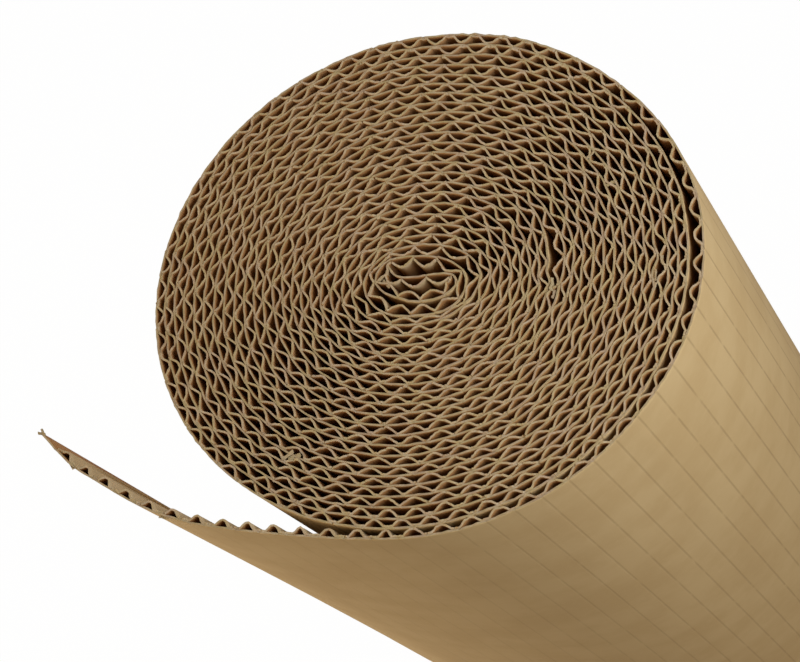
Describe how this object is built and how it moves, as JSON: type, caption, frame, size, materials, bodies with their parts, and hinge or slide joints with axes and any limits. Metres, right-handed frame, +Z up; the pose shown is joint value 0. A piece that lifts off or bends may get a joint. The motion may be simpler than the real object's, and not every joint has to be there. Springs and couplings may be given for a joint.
{
  "type": "corrugated cardboard roll",
  "caption": "Standing roll of single-faced corrugated kraft board, wound in a slightly oval spiral with no core, its outer end left as a loose curled tail.",
  "frame": {"origin": "middle of the box round the foot, on the floor", "axes": "+Z up along the roll, the height being the width of the board; the loose end leaves along the -Y side and points towards -X"},
  "size_m": [0.1674, 0.1254, 0.5007],
  "materials": {
    "liner_kraft": "matt kraft paper, smooth, with faint glue lines across it",
    "fluting_kraft": "matt kraft paper, rougher and a little darker"
  },
  "bodies": {
    "root": {"liner": "liner_kraft", "fluting": "fluting_kraft"}
  },
  "joints": []
}
